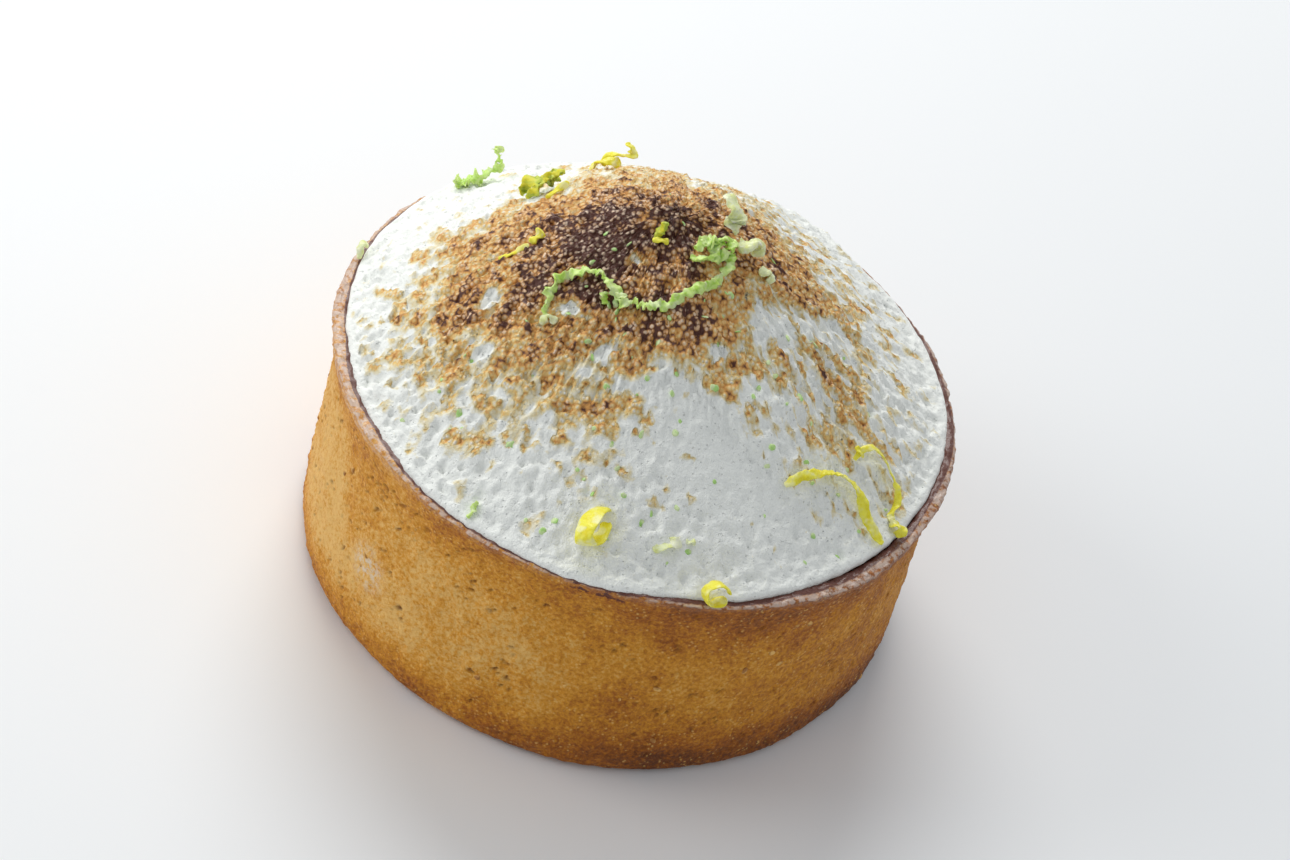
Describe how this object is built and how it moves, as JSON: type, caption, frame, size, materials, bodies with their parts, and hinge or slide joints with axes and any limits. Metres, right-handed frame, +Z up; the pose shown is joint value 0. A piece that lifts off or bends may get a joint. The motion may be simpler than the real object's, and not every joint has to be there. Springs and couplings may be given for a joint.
{
  "type": "lemon meringue tart",
  "caption": "Individual lemon meringue tart: straight-sided shortcrust shell filled to its lip under a torched, spooned meringue mound with citrus zest.",
  "frame": {"origin": "middle of the flat foot, on the surface the tart stands on", "axes": "+Z up out of the mound, +X to the right and +Y to the back as the tart is shown"},
  "size_m": [0.076, 0.0762, 0.0534],
  "materials": {
    "pastry": "matte",
    "meringue": "matte",
    "lime_zest": "matte",
    "lemon_zest": "matte"
  },
  "bodies": {
    "root": {"pastry_shell": "pastry", "meringue": "meringue"}
  },
  "joints": []
}
